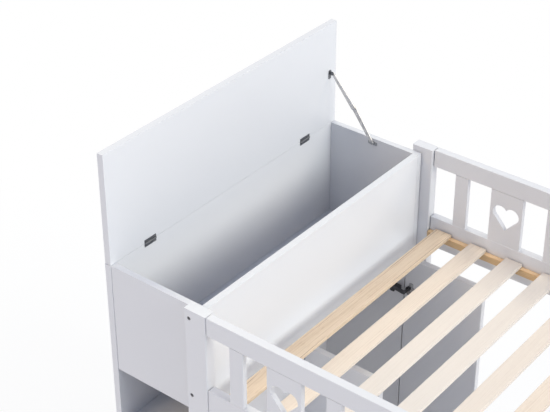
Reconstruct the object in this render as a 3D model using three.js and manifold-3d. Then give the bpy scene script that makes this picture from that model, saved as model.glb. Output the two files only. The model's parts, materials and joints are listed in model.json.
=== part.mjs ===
// Loft bed with a lidded storage chest across its head end. Below the chest stands a tower with
// open cubbies on the near side and a two-door wardrobe behind them. Guard rails with heart
// cut-outs run round the other three sides, and a fixed ladder stands at the foot.
// Millimetres. X runs from the head to the foot, Y from the near side to the far side, Z is up.
// It is shown with the chest lid raised and both wardrobe doors open.
import * as THREE from 'three';
import { mergeVertices } from 'three/addons/utils/BufferGeometryUtils.js';
import Module from 'manifold-3d';

const wasm = await Module();
wasm.setup();

// Mattress space and heights
const mattressLength = 2000;
const mattressWidth = 900;
const mattressEndSlack = 22;
const mattressSideSlack = 6;
const chestTopHeight = 1143;
const postAboveChest = 17;
const seam = 0.3;

// Boards of the chest and tower
const board = 18;
const chestDepth = 306;
const chestInnerDepth = 285;
const coverHeight = 311;
const frontWallHeight = 333;
const cubbyDepth = 381;
const cubbyHeight = 175;
const cubbyShelves = 3;
const shelfSetback = 3;
const toeKickHeight = 60;
const toeKickSetback = 22;

// Posts, rails and ladder
const postWidth = 63;
const postThickness = 30;
const postBesideChest = 30;
const railThickness = 22;
const topRailHeight = 50;
const lowerRailHeight = 95;
const lowerRailBelowChest = 192;
const planedEdge = 3;
const entryWidth = 360;
const rungHeight = 35;
const rungCount = 3;
const rungEdge = 8;

// Pickets and heart boards of the guard rails
const picketWidth = 40;
const picketThickness = 14;
const picketRecess = 0.4;
const picketEdge = 2;
const tenon = 6;
const heartBoardWidth = 96;
const heartLobeRadius = 22;
const heartLobeOffset = 17.7;
const heartDrop = 41;
const heartHeight = 74;
const guardRows = { near: 'PHPHPHPHPHP', far: 'PHPHPHPPHPHPHP', foot: 'PHPHPHP' };

// Slats and the ledgers that carry them
const slatWidth = 50;
const slatThickness = 10;
const slatPitchAim = 110;
const firstSlatFromPost = 24;
const lastSlatFromPost = 4;
const slatBelowRail = 30;
const slatEndGap = 3.5;
const slatEdge = 1.5;
const tapeWidth = 10;
const tapeThickness = 1;
const tapeBite = 0.3;
const tapeFromSlatEnd = 0.5;
const ledgerDepth = 15;
const ledgerHeight = 20;
const ledgerEndGap = 1;

// Chest lid, its two butt hinges and its folding stay
const lidHeight = 304;
const lidEndGap = 1;
const lidSeam = 0.5;
const lidPinOffset = 2;
const buttLength = 40;
const buttReach = 10;
const buttLeaf = 1.2;
const buttKnuckle = 1.8;
const buttPin = 0.9;
const buttFromEnd = 138;
const knuckleCount = 5;
const knuckleGap = 0.3;
const stayLidHeight = 159;
const stayLidOffset = 8.5;
const stayPanelDepth = 11.5;
const stayPanelReach = 143;
const stayElbowBow = 4.3;
const stayStrap = 2;
const stayEndWidth = 9;
const stayElbowWidth = 14;
const stayGroove = 4;
const stayGrooveDepth = 0.8;
const stayGrooveFromPivot = 13;
const stayRivet = 2.2;
const stayRivetHead = 3.6;
const stayShoulder = 4;
const stayStandoff = 3;
const stayLayerGap = 0.6;
const stayLidPlate = [11, 26];
const stayPanelPlate = [29, 10];
const stayBracketPlate = 1.4;

// Wardrobe doors, concealed hinges, knobs and clothes rail
const doorTopBelowWall = 3;
const doorOverBase = 16;
const doorReveal = 3;
const doorMiddleGap = 3;
const doorEdge = 2.5;
const carcassSetback = 3.5;
const hingeFromDoorEnd = 109;
const cupRadius = 17.5;
const cupDepth = 13;
const cupWall = 1;
const cupCentre = 22;
const cupFlange = 1.2;
const cupRim = 1.2;
const cupTab = 30;
const cupTabWidth = 14;
const cupBoreClearance = 0.4;
const hingePin = 1.1;
const hingePinLength = 21;
const neckWidth = 10;
const neckEye = 2.2;
const neckReach = 24.5;
const armWidth = 14;
const armLength = 63;
const armWing = 26;
const wingWidth = 16;
const wingThickness = 2.2;
const knobRadius = 14;
const knobLength = 24;
const knobFromEdge = 34;
const knobHeight = 430;
const clothesRailRadius = 12.5;
const clothesRailWall = 1.5;
const clothesRailDrop = 45;
const socketRadius = 19;
const socketDepth = 12;
const socketWall = 3;

// Bolts that clamp the head posts to the chest
const boltFromWallFace = 16;
const boltsBelowChestTop = [7, 231];
const boltHead = 5;
const boltHeadHeight = 5;
const boltSunk = 0.6;
const boltShank = 3;
const boltClearance = 0.3;
const boltIntoBoard = 14;
const boltSocket = 2.9;
const boltSocketDepth = 3;

// Sizes worked out from the ones above
const innerWidth = mattressWidth + mattressSideSlack;
const postInner = innerWidth / 2 - (postThickness - railThickness);
const postOuter = postInner + postThickness;
const railInner = postOuter - railThickness;
const chestWidth = 2 * postInner;
const sideInner = postInner - board;
const totalLength = chestDepth + mattressLength + mattressEndSlack + railThickness;
const top = chestTopHeight;
const postTop = top + postAboveChest;
const headPostX = [chestDepth - postBesideChest, chestDepth - postBesideChest + postWidth];
const footPostX = [totalLength - postWidth, totalLength];
const entryPostX = [footPostX[0] - entryWidth - postWidth, footPostX[0] - entryWidth];
const lowerRailTop = top - lowerRailBelowChest;
const lowerRailZ = [lowerRailTop - lowerRailHeight, lowerRailTop];
const topRailZ = [postTop - topRailHeight, postTop];
const ledgerTop = lowerRailTop - slatBelowRail - slatThickness - tapeThickness;
const chestFloorZ = [top - chestInnerDepth - board, top - chestInnerDepth];
const baseZ = [toeKickHeight, toeKickHeight + board];
const partitionY = [-postInner + cubbyDepth, -postInner + cubbyDepth + board];
const carcassFront = chestDepth - board - carcassSetback;
const doorZ = [toeKickHeight + board - doorOverBase, top - frontWallHeight - doorTopBelowWall];

const paint = (color, roughness) => new THREE.MeshStandardMaterial({ color, roughness, metalness: 0 });
const metal = (color, roughness) => new THREE.MeshStandardMaterial({ color, roughness, metalness: 1 });
const whitePaint = paint(0xe9e9ee, 0.45);
const pine = paint(0xecdcc0, 0.6);
const ledgerWood = paint(0xd09a62, 0.6);
const darkMetal = metal(0x55565c, 0.4);
const brightMetal = metal(0xa9abb0, 0.3);

const bed = new THREE.Group();
bed.position.x = -totalLength / 2;

function addPiece(name, geometry, material, parent = bed) {
  const mesh = new THREE.Mesh(geometry, material);
  mesh.name = name;
  parent.add(mesh);
  return mesh;
}

function toSolid(geometry) {
  const bare = geometry.clone();
  bare.deleteAttribute('normal');
  bare.deleteAttribute('uv');
  const merged = mergeVertices(bare, 1e-5);
  const vertProperties = new Float32Array(merged.attributes.position.array);
  const triVerts = new Uint32Array(merged.index.array);
  return new wasm.Manifold(new wasm.Mesh({ numProp: 3, vertProperties, triVerts }));
}

function fromSolid(solid) {
  const mesh = solid.getMesh();
  const geometry = new THREE.BufferGeometry();
  geometry.setAttribute('position', new THREE.BufferAttribute(mesh.vertProperties, 3));
  geometry.setIndex(new THREE.BufferAttribute(mesh.triVerts, 1));
  const flat = geometry.toNonIndexed();
  flat.computeVertexNormals();
  return flat;
}

function cut(body, tools) {
  let solid = toSolid(body);
  for (const tool of tools) solid = solid.subtract(toSolid(tool));
  return fromSolid(solid);
}

function join(parts) {
  let solid = toSolid(parts[0]);
  for (const part of parts.slice(1)) solid = solid.add(toSolid(part));
  return fromSolid(solid);
}

const middle = (span) => (span[0] + span[1]) / 2;
const size = (span) => span[1] - span[0];

// A flat board between two corners
function boardSolid(spanX, spanY, spanZ) {
  const solid = new THREE.BoxGeometry(size(spanX), size(spanY), size(spanZ));
  return solid.translate(middle(spanX), middle(spanY), middle(spanZ));
}

// Turns a shape drawn in two axes and extruded along the third to its place
const shapeAxes = {
  x: [[0, 1, 0], [0, 0, 1], [1, 0, 0]],
  y: [[0, 0, 1], [1, 0, 0], [0, 1, 0]],
  z: [[1, 0, 0], [0, 1, 0], [0, 0, 1]],
};

function extrudeAlong(shape, axis, from, to, curveSegments = 3) {
  const solid = new THREE.ExtrudeGeometry(shape, { depth: to - from, bevelEnabled: false, curveSegments });
  solid.translate(0, 0, from);
  const [u, v, w] = shapeAxes[axis].map((direction) => new THREE.Vector3(...direction));
  return solid.applyMatrix4(new THREE.Matrix4().makeBasis(u, v, w));
}

function roundedOutline(spanU, spanV, radius) {
  const shape = new THREE.Shape();
  const [u0, u1] = spanU;
  const [v0, v1] = spanV;
  shape.absarc(u0 + radius, v0 + radius, radius, Math.PI, 1.5 * Math.PI);
  shape.absarc(u1 - radius, v0 + radius, radius, 1.5 * Math.PI, 2 * Math.PI);
  shape.absarc(u1 - radius, v1 - radius, radius, 0, 0.5 * Math.PI);
  shape.absarc(u0 + radius, v1 - radius, radius, 0.5 * Math.PI, Math.PI);
  shape.closePath();
  return shape;
}

// A planed bar: a rectangle with eased long edges, carried along one axis
function barSolid(axis, spanX, spanY, spanZ, edge = planedEdge, steps = 3) {
  if (axis === 'x') return extrudeAlong(roundedOutline(spanY, spanZ, edge), 'x', ...spanX, steps);
  if (axis === 'y') return extrudeAlong(roundedOutline(spanZ, spanX, edge), 'y', ...spanY, steps);
  return extrudeAlong(roundedOutline(spanX, spanY, edge), 'z', ...spanZ, steps);
}

function polygon(points) {
  return new THREE.Shape(points.map(([u, v]) => new THREE.Vector2(u, v)));
}

// A cylinder from one point towards another along a direction
function rod(start, direction, length, radius, sides = 16) {
  const solid = new THREE.CylinderGeometry(radius, radius, length, sides);
  solid.translate(0, length / 2, 0);
  const turn = new THREE.Quaternion();
  turn.setFromUnitVectors(new THREE.Vector3(0, 1, 0), direction);
  return solid.applyQuaternion(turn).translate(start.x, start.y, start.z);
}

// A cap bolt starts on an outer face, where its head is sunk flush, and runs inwards along its direction
function makeBolt(x, y, z, dx, dy, length) {
  return { start: new THREE.Vector3(x, y, z), direction: new THREE.Vector3(dx, dy, 0), length };
}

function boltSolid({ start, direction, length }) {
  const crown = start.clone().addScaledVector(direction, boltSunk);
  const head = rod(crown, direction, boltHeadHeight, boltHead);
  const shank = rod(crown, direction, length, boltShank, 12);
  const socketMouth = start.clone().addScaledVector(direction, -1);
  const socket = rod(socketMouth, direction, boltSunk + 1 + boltSocketDepth, boltSocket, 6);
  return cut(join([head, shank]), [socket]);
}

// The clearance hole and the counterbore for its head, as one solid to cut away
function boltBore({ start, direction, length }) {
  const mouth = start.clone().addScaledVector(direction, -1);
  const hole = rod(mouth, direction, length + 2, boltShank + boltClearance, 12);
  const headRoom = boltSunk + boltHeadHeight + seam;
  const counterbore = rod(mouth, direction, headRoom + 1, boltHead + boltClearance);
  return join([hole, counterbore]);
}

const sides = [{ name: 'near', sign: -1 }, { name: 'far', sign: 1 }];
const spanOn = (sign, inner, outer) => (sign > 0 ? [inner, outer] : [-outer, -inner]);

// Two bolts clamp each head post to the chest side beside it
const boltX = chestDepth - boltFromWallFace;
const boltHeights = boltsBelowChestTop.map((drop) => top - drop);
const boltLength = postThickness + boltIntoBoard;

function sideBolts(sign) {
  return boltHeights.map((z) => makeBolt(boltX, sign * postOuter, z, 0, -sign, boltLength));
}

// Head tower: end panel, chest, cubbies and wardrobe carcass
function buildTower() {
  const inX = board + seam;
  const wallX = [chestDepth - board, chestDepth];
  const betweenSides = [-sideInner + seam, sideInner - seam];
  addPiece('end_panel', boardSolid([0, board], [-postInner, postInner], [0, top]), whitePaint);

  const coverSpans = [[inX, chestDepth], [-postInner, -sideInner], [top - coverHeight, top]];
  const cover = cut(boardSolid(...coverSpans), sideBolts(-1).map(boltBore));
  addPiece('near_cover_panel', cover, whitePaint);

  // The far side runs to the floor and steps back below the chest, where the doors close on it
  const step = top - frontWallHeight;
  const sideOutline = polygon([
    [0, inX], [0, carcassFront], [step, carcassFront], [step, chestDepth], [top, chestDepth], [top, inX],
  ]);
  const farSide = extrudeAlong(sideOutline, 'y', sideInner, postInner);
  addPiece('far_side_panel', cut(farSide, sideBolts(1).map(boltBore)), whitePaint);

  addPiece('chest_front_wall', boardSolid(wallX, betweenSides, [step, top]), whitePaint);
  addPiece('chest_floor', boardSolid([inX, wallX[0] - seam], betweenSides, chestFloorZ), whitePaint);
  const baseSpanY = [-postInner, sideInner - seam];
  addPiece('tower_base', boardSolid([inX, carcassFront], baseSpanY, baseZ), whitePaint);
  const partitionZ = [baseZ[1] + seam, chestFloorZ[0] - seam];
  addPiece('wardrobe_partition', boardSolid([inX, carcassFront], partitionY, partitionZ), whitePaint);
  const cubbySideY = [-postInner, partitionY[0] - seam];
  addPiece('cubby_side_panel', boardSolid(wallX, cubbySideY, [0, step - seam]), whitePaint);

  const kickZ = [0, toeKickHeight - seam];
  const nearKickY = [-postInner + toeKickSetback, -postInner + toeKickSetback + board];
  addPiece('near_toe_kick', boardSolid([inX, wallX[0] - seam], nearKickY, kickZ), whitePaint);
  const doorKickX = [carcassFront - toeKickSetback - board, carcassFront - toeKickSetback];
  const doorKickY = [partitionY[0], sideInner - seam];
  addPiece('wardrobe_toe_kick', boardSolid(doorKickX, doorKickY, kickZ), whitePaint);

  for (let i = 0; i < cubbyShelves; i += 1) {
    const shelfTop = top - coverHeight - cubbyHeight - i * (cubbyHeight + board);
    const spanX = [inX, wallX[0] - seam];
    const spanY = [-postInner + shelfSetback, partitionY[0] - seam];
    addPiece(`cubby_shelf_${i + 1}`, boardSolid(spanX, spanY, [shelfTop - board, shelfTop]), whitePaint);
  }
}

// A clothes rail across the wardrobe, held by a socket on each side
function buildClothesRail() {
  const x = (board + carcassFront) / 2;
  const z = chestFloorZ[0] - clothesRailDrop;
  const ring = new THREE.Shape().absarc(z, x, clothesRailRadius, 0, 2 * Math.PI);
  const innerRadius = clothesRailRadius - clothesRailWall;
  ring.holes.push(new THREE.Path().absarc(z, x, innerRadius, 0, 2 * Math.PI, true));
  const ends = [partitionY[1] + socketWall, sideInner - socketWall];
  addPiece('clothes_rail', extrudeAlong(ring, 'y', ...ends, 10), brightMetal);
  for (const { name, sign } of sides) {
    const y = sign > 0 ? sideInner - seam : partitionY[1] + seam;
    const inward = new THREE.Vector3(0, -sign, 0);
    const body = rod(new THREE.Vector3(x, y, z), inward, socketDepth, socketRadius, 24);
    const mouth = new THREE.Vector3(x, y - sign * (socketWall - 2 * seam), z);
    const seat = rod(mouth, inward, socketDepth, clothesRailRadius + seam, 24);
    addPiece(`${name}_clothes_rail_socket`, cut(body, [seat]), brightMetal);
  }
}

// Posts and the fixed ladder
function buildFrame() {
  for (const { name, sign } of sides) {
    const spanY = spanOn(sign, postInner + seam, postOuter);
    const headPost = barSolid('z', headPostX, spanY, [0, postTop]);
    addPiece(`${name}_head_post`, cut(headPost, sideBolts(sign).map(boltBore)), whitePaint);
    addPiece(`${name}_foot_post`, barSolid('z', footPostX, spanY, [0, postTop]), whitePaint);
    sideBolts(sign).forEach((bolt, i) => {
      addPiece(`${name}_chest_bolt_${i + 1}`, boltSolid(bolt), darkMetal);
    });
  }
  const entryY = [-postOuter, -railInner];
  const entryZ = [lowerRailTop + seam, postTop];
  addPiece('entry_post', barSolid('z', entryPostX, entryY, entryZ), whitePaint);
  const uprightY = [-postOuter, -postInner - seam];
  const uprightZ = [0, lowerRailZ[0] - seam];
  addPiece('ladder_upright', barSolid('z', entryPostX, uprightY, uprightZ), whitePaint);
  const rungPitch = lowerRailZ[0] / (rungCount + 1);
  const rungX = [entryPostX[1] + seam, footPostX[0] - seam];
  for (let i = 1; i <= rungCount; i += 1) {
    const rungZ = [i * rungPitch - rungHeight, i * rungPitch];
    addPiece(`ladder_rung_${i}`, barSolid('x', rungX, uprightY, rungZ, rungEdge), whitePaint);
  }
}

// Heart outline: two lobes and straight flanks to a point, symmetric about u = 0, lobe tops at v = 0
function heartPath() {
  const r = heartLobeRadius;
  const c = heartLobeOffset;
  const tip = new THREE.Vector2(0, -heartHeight);
  const toTip = Math.hypot(c, heartHeight - r);
  const flank = Math.atan2(tip.y + r, tip.x - c) + Math.acos(r / toTip);
  const notch = Math.acos(c / r);
  const path = new THREE.Path();
  path.moveTo(tip.x, tip.y);
  path.absarc(c, -r, r, flank, Math.PI - notch, false);
  path.absarc(-c, -r, r, notch, Math.PI - flank, false);
  path.lineTo(tip.x, tip.y);
  return path;
}

// One guard rail, glued up as a panel: a lower board, a top rail, and between them a row of pickets (P)
// and heart boards (H), spread evenly from one post to the next. The uprights lie almost flush with
// the rails on the side that faces -Y, or -X at the foot.
function buildGuard(name, pattern, axis, lowerSpan, topSpan, across) {
  const spansOf = (along, thick, spanZ) => (axis === 'x' ? [along, thick, spanZ] : [thick, along, spanZ]);
  const parts = [
    barSolid(axis, ...spansOf(lowerSpan, across, lowerRailZ)),
    barSolid(axis, ...spansOf(topSpan, across, topRailZ)),
  ];
  const widths = [...pattern].map((letter) => (letter === 'H' ? heartBoardWidth : picketWidth));
  const filled = widths.reduce((sum, width) => sum + width, 0);
  const gap = (size(topSpan) - filled) / (widths.length + 1);
  const picketZ = [lowerRailTop - tenon, topRailZ[0] + tenon];
  const thick = [across[0] + picketRecess, across[0] + picketRecess + picketThickness];
  let at = topSpan[0] + gap;
  widths.forEach((width, i) => {
    const along = [at, at + width];
    const upright = barSolid('z', ...spansOf(along, thick, picketZ), picketEdge, 1);
    if (pattern[i] === 'P') parts.push(upright);
    else parts.push(cut(upright, [heartTool(axis, middle(along), middle(thick))]));
    at += width + gap;
  });
  addPiece(`${name}_guard_rail`, join(parts), whitePaint);
}

// The heart as a solid that reaches through a board
function heartTool(axis, along, across) {
  const outline = new THREE.Shape(heartPath().getPoints(6));
  const tool = new THREE.ExtrudeGeometry(outline, { depth: 2 * postThickness, bevelEnabled: false });
  tool.translate(0, 0, -postThickness).rotateX(Math.PI / 2);
  if (axis === 'y') tool.rotateZ(Math.PI / 2);
  const [x, y] = axis === 'x' ? [along, across] : [across, along];
  return tool.translate(x, y, topRailZ[0] - heartDrop);
}

// Ledgers screwed inside the lower rails, and the roll-out slats across them, held at their spacing by a
// tape stapled under their ends, which lies on the ledger
function buildSlats() {
  for (const { name, sign } of sides) {
    const spanX = [headPostX[1] + ledgerEndGap, footPostX[0] - ledgerEndGap];
    const spanY = spanOn(sign, railInner - ledgerDepth, railInner - seam);
    const ledger = barSolid('x', spanX, spanY, [ledgerTop - ledgerHeight, ledgerTop], 1);
    addPiece(`${name}_ledger`, ledger, ledgerWood);
  }
  const spanY = [-railInner + slatEndGap, railInner - slatEndGap];
  const slatBottom = ledgerTop + seam + tapeThickness;
  const slatZ = [slatBottom, slatBottom + slatThickness];
  const first = headPostX[1] + firstSlatFromPost;
  const run = footPostX[0] - lastSlatFromPost - slatWidth - first;
  const steps = Math.round(run / slatPitchAim);
  const starts = Array.from({ length: steps + 1 }, (_, i) => first + (i * run) / steps);
  const slats = starts.map((x) => barSolid('y', [x, x + slatWidth], spanY, slatZ, slatEdge, 1));
  const tapeX = [starts[0] + 4, starts[steps] + slatWidth - 4];
  const tapeZ = [slatZ[0] - tapeThickness, slatZ[0] + tapeBite];
  const tapes = sides.map(({ sign }) => {
    const tapeEnd = railInner - slatEndGap - tapeFromSlatEnd;
    const tapeY = spanOn(sign, tapeEnd - tapeWidth, tapeEnd);
    return boardSolid(tapeX, tapeY, tapeZ);
  });
  addPiece('slat_base', join([...slats, ...tapes]), pine);
}

// Chest lid on two butt hinges, standing open above the end panel
const lidPin = new THREE.Vector3(board + lidPinOffset, 0, top);

function buttLeafSolid(centreY, up) {
  const cell = buttLength / knuckleCount;
  const first = centreY - buttLength / 2;
  const leafX = [board + seam / 2, board + seam / 2 + buttLeaf];
  const near = buttKnuckle * 0.6;
  const leafZ = up ? [top + near, top + buttReach] : [top - buttReach, top - near];
  const parts = [boardSolid(leafX, [first, first + buttLength], leafZ)];
  const notches = [];
  for (let i = 0; i < knuckleCount; i += 1) {
    const own = (i % 2 === 1) === up;
    const inset = own ? knuckleGap / 2 : -knuckleGap / 2;
    const start = new THREE.Vector3(lidPin.x, first + i * cell + inset, top);
    const length = cell - 2 * inset;
    const along = new THREE.Vector3(0, 1, 0);
    if (own) parts.push(rod(start, along, length, buttKnuckle, 12));
    else notches.push(rod(start, along, length, buttKnuckle + 0.25, 12));
  }
  const pinStart = new THREE.Vector3(lidPin.x, first - 2, top);
  notches.push(rod(pinStart, new THREE.Vector3(0, 1, 0), buttLength + 4, buttPin + 0.1, 12));
  return cut(join(parts), notches);
}

function buildLid() {
  const spanY = [-postInner + lidEndGap, postInner - lidEndGap];
  addPiece('chest_lid', boardSolid([0, board], spanY, [top + lidSeam, top + lidHeight]), whitePaint);
  const centres = [-postInner + buttFromEnd, postInner - buttFromEnd];
  sides.forEach(({ name }, i) => {
    const y = centres[i];
    const pinStart = new THREE.Vector3(lidPin.x, y - buttLength / 2 - 0.5, top);
    const pin = rod(pinStart, new THREE.Vector3(0, 1, 0), buttLength + 1, buttPin, 12);
    addPiece(`${name}_lid_hinge_upper_leaf`, buttLeafSolid(y, true), darkMetal);
    addPiece(`${name}_lid_hinge_lower_leaf`, buttLeafSolid(y, false), darkMetal);
    addPiece(`${name}_lid_hinge_pin`, pin, darkMetal);
  });
}

// Folding stay between the lid and the far chest side: two pressed straps, widest at their elbow, which
// stands a little outwards of the line between the pivots and so folds away from the hinge
function buildStay() {
  const lidPivot = new THREE.Vector3(board + stayLidOffset, 0, top + stayLidHeight);
  const panelPivot = new THREE.Vector3(board + stayPanelReach, 0, top - stayPanelDepth);
  const line = panelPivot.clone().sub(lidPivot).normalize();
  const outwards = new THREE.Vector3(-line.z, 0, line.x);
  const elbow = lidPivot.clone().add(panelPivot).multiplyScalar(0.5);
  elbow.addScaledVector(outwards, stayElbowBow);
  const panelPlate = [sideInner - seam - stayBracketPlate, sideInner - seam];
  const layerBehind = (y) => [y - stayLayerGap - stayStrap, y - stayLayerGap];
  const lowerLayer = layerBehind(panelPlate[0] - stayStandoff);
  const upperLayer = layerBehind(lowerLayer[0]);
  const earLayer = [upperLayer[0] - stayLayerGap - stayBracketPlate, upperLayer[0] - stayLayerGap];
  const inwards = new THREE.Vector3(0, -1, 0);

  // A rivet: a shank along -Y from one depth to another, with its head beyond
  const rivetSolid = (pivot, shankFrom, shankTo) => {
    const start = new THREE.Vector3(pivot.x, shankFrom, pivot.z);
    const shank = rod(start, inwards, shankFrom - shankTo + 0.1, stayRivet, 12);
    const headStart = new THREE.Vector3(pivot.x, shankTo, pivot.z);
    return join([shank, rod(headStart, inwards, 1.6, stayRivetHead, 16)]);
  };

  // Round ends of two radii about two points on the shape's x axis, joined by their common tangents
  const taperedOutline = (from, fromRadius, to, toRadius) => {
    const lean = Math.acos((fromRadius - toRadius) / (to - from));
    const shape = new THREE.Shape();
    shape.absarc(from, 0, fromRadius, lean, 2 * Math.PI - lean);
    shape.absarc(to, 0, toRadius, -lean, lean);
    shape.closePath();
    return shape;
  };

  // A strap from its pivot to the elbow, with a groove pressed into the face that shows
  const strap = (pivot, layer) => {
    const angle = Math.atan2(elbow.z - pivot.z, elbow.x - pivot.x);
    const reach = Math.hypot(elbow.x - pivot.x, elbow.z - pivot.z);
    const plate = (shape, from, to) => {
      const settings = { depth: to - from, bevelEnabled: false, curveSegments: 8 };
      const solid = new THREE.ExtrudeGeometry(shape, settings);
      solid.rotateX(Math.PI / 2).translate(0, to, 0);
      return solid.rotateY(-angle).translate(pivot.x, 0, pivot.z);
    };
    const outline = taperedOutline(0, stayEndWidth / 2, reach, stayElbowWidth / 2);
    const grooveEnd = reach - stayGrooveFromPivot;
    const groove = taperedOutline(stayGrooveFromPivot, stayGroove / 2, grooveEnd, stayGroove);
    const mouth = new THREE.Vector3(pivot.x, layer[1] + 1, pivot.z);
    const hole = rod(mouth, inwards, size(layer) + 2, stayRivet + 0.2, 12);
    return cut(plate(outline, ...layer), [hole, plate(groove, layer[0] - 1, layer[0] + stayGrooveDepth)]);
  };
  addPiece('stay_lower_arm', strap(panelPivot, lowerLayer), brightMetal);
  const elbowStart = new THREE.Vector3(elbow.x, upperLayer[0] + 0.5, elbow.z);
  const elbowHead = rod(elbowStart, inwards, 1.9, stayRivetHead, 16);
  addPiece('stay_upper_arm', join([strap(lidPivot, upperLayer), elbowHead]), brightMetal);

  // Lid bracket: a plate on the lid with an ear that reaches out to the pivot
  const [lidPlateWidth, lidPlateLength] = stayLidPlate;
  const plateX = [board + seam / 2, board + seam / 2 + stayBracketPlate];
  const plateY = [earLayer[1] + 5 - lidPlateWidth, earLayer[1] + 5];
  const plateZ = [lidPivot.z + 8 - lidPlateLength, lidPivot.z + 8];
  const plate = extrudeAlong(roundedOutline(plateY, plateZ, 3), 'x', ...plateX);
  const earOutline = roundedOutline([lidPivot.z - 5.5, lidPivot.z + 5.5], [board + 1, lidPivot.x + 5.5], 5);
  const ear = extrudeAlong(earOutline, 'y', ...earLayer, 5);
  const lidRivet = rivetSolid(lidPivot, upperLayer[1] - 0.1, earLayer[0]);
  addPiece('stay_lid_bracket', join([plate, ear, lidRivet]), darkMetal);

  // Panel bracket: a plate with a shouldered stud that carries the lower arm
  const [panelPlateLength, panelPlateHeight] = stayPanelPlate;
  const bracketX = [panelPivot.x - 16, panelPivot.x - 16 + panelPlateLength];
  const bracketZ = [panelPivot.z + 2.5 - panelPlateHeight, panelPivot.z + 2.5];
  const roundPlate = extrudeAlong(roundedOutline(bracketZ, bracketX, 3), 'y', ...panelPlate);
  const shoulderStart = new THREE.Vector3(panelPivot.x, panelPlate[0] + 0.5, panelPivot.z);
  const shoulderLength = shoulderStart.y - lowerLayer[1] - stayLayerGap / 2;
  const shoulder = rod(shoulderStart, inwards, shoulderLength, stayShoulder, 16);
  const panelRivet = rivetSolid(panelPivot, shoulderStart.y, lowerLayer[0] - 0.3);
  addPiece('stay_panel_bracket', join([roundPlate, shoulder, panelRivet]), darkMetal);
}

// Concealed hinges: an arm on the carcass whose curved neck reaches into a cup let into the door and
// turns there on the cup's pin. The profiles are drawn about that pin: first towards the door's outer
// face, then from its hinge edge towards its free edge.
const hingeHeights = [doorZ[0] + hingeFromDoorEnd, doorZ[1] - hingeFromDoorEnd];

function hingeArmSolid(pivot, towards, z, panelFace) {
  const seat = Math.abs(panelFace - pivot.y) + seam;
  const outline = (points) => polygon(points.map(([u, v]) => [pivot.x + u, pivot.y + towards * v]));
  const body = outline([
    [-armLength, seat], [-armLength, 15.5], [8 - armLength, 18.5], [-19, 22.5], [-9, neckReach],
    [-1, neckReach], [1.2, 22.6], [1.2, 19], [-1.2, 19], [-1.2, 21], [-2.2, 22], [-11, 21.5],
    [-17, 15], [-21, seat],
  ]);
  const neck = outline([[-1.2, 0], [1.2, 0], [1.2, 22], [-1.2, 21]]);
  const along = new THREE.Vector3(0, 0, 1);
  const eye = (radius, width) => {
    const start = new THREE.Vector3(pivot.x, pivot.y, z - width / 2);
    return rod(start, along, width, radius);
  };
  const wingX = [pivot.x + 4 - armLength, pivot.x + 4 - armLength + wingWidth];
  const wingMiddle = pivot.y + towards * (seat + wingThickness / 2);
  const wingY = [wingMiddle - wingThickness / 2, wingMiddle + wingThickness / 2];
  const parts = [
    extrudeAlong(body, 'z', z - armWidth / 2, z + armWidth / 2),
    extrudeAlong(neck, 'z', z - neckWidth / 2, z + neckWidth / 2),
    barSolid('y', wingX, wingY, [z - armWing, z + armWing], 4),
    eye(neckEye, neckWidth),
  ];
  return cut(join(parts), [eye(hingePin + 0.2, neckWidth + 2)]);
}

// Everything on a door is drawn closed about its pivot: x outwards, and y from the pivot towards
// the free edge times the door's own direction
function buildDoor(name, sign, hingeEdgeY, freeEdgeY, panelFace) {
  const half = board / 2;
  const towards = -sign;
  const pivot = new THREE.Vector3(chestDepth - half, hingeEdgeY + towards * half, 0);
  const door = new THREE.Group();
  door.position.copy(pivot);
  door.rotation.z = sign * Math.PI / 2;
  bed.add(door);
  const reach = Math.abs(freeEdgeY - hingeEdgeY) - half;
  const spanY = towards > 0 ? [-half, reach] : [-reach, half];
  const leaf = barSolid('z', [-half, half], spanY, doorZ, doorEdge);
  const cupY = towards * (cupCentre - half);
  const outward = new THREE.Vector3(1, 0, 0);
  const boreDepth = cupDepth + cupBoreClearance;
  const boreRadius = cupRadius + cupBoreClearance;
  const disc = (z, from, to, radius) => {
    return rod(new THREE.Vector3(from, cupY, z), outward, to - from, radius, 28);
  };
  const cupBore = (z) => disc(z, -half - 1, -half + boreDepth, boreRadius);
  addPiece(`${name}_door`, cut(leaf, hingeHeights.map(cupBore)), whitePaint, door);

  const face = -half - seam;
  hingeHeights.forEach((z, i) => {
    const tabY = [cupY - cupTabWidth / 2, cupY + cupTabWidth / 2];
    const tabOutline = roundedOutline(tabY, [z - cupTab, z + cupTab], 5);
    const flange = extrudeAlong(tabOutline, 'x', face - cupFlange, face);
    const rim = disc(z, face - cupFlange, face, cupRadius + cupRim);
    const cup = disc(z, face - 0.5, face + cupDepth, cupRadius);
    const hollow = disc(z, face - cupFlange - 1, face + cupDepth - cupWall, cupRadius - cupWall);
    const shell = cut(join([flange, rim, cup]), [hollow]);
    const pinStart = new THREE.Vector3(0, 0, z - hingePinLength / 2);
    const pin = rod(pinStart, new THREE.Vector3(0, 0, 1), hingePinLength, hingePin, 12);
    addPiece(`${name}_door_hinge_cup_${i + 1}`, join([shell, pin]), darkMetal, door);
    const arm = hingeArmSolid(pivot, towards, z, panelFace);
    addPiece(`${name}_door_hinge_arm_${i + 1}`, arm, darkMetal);
  });

  // Turned knob near the free edge
  const r = knobRadius;
  const l = knobLength;
  const profile = [[0, 0], [0.6 * r, 0], [0.45 * r, 0.3 * l], [0.6 * r, 0.5 * l], [0.92 * r, 0.62 * l],
    [r, 0.76 * l], [0.9 * r, 0.9 * l], [0.55 * r, l], [0, l]];
  const knob = new THREE.LatheGeometry(profile.map(([x, y]) => new THREE.Vector2(x, y)), 24);
  knob.rotateZ(-Math.PI / 2).translate(half + seam, towards * (reach - knobFromEdge), knobHeight);
  addPiece(`${name}_door_knob`, knob, brightMetal, door);
}

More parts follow.
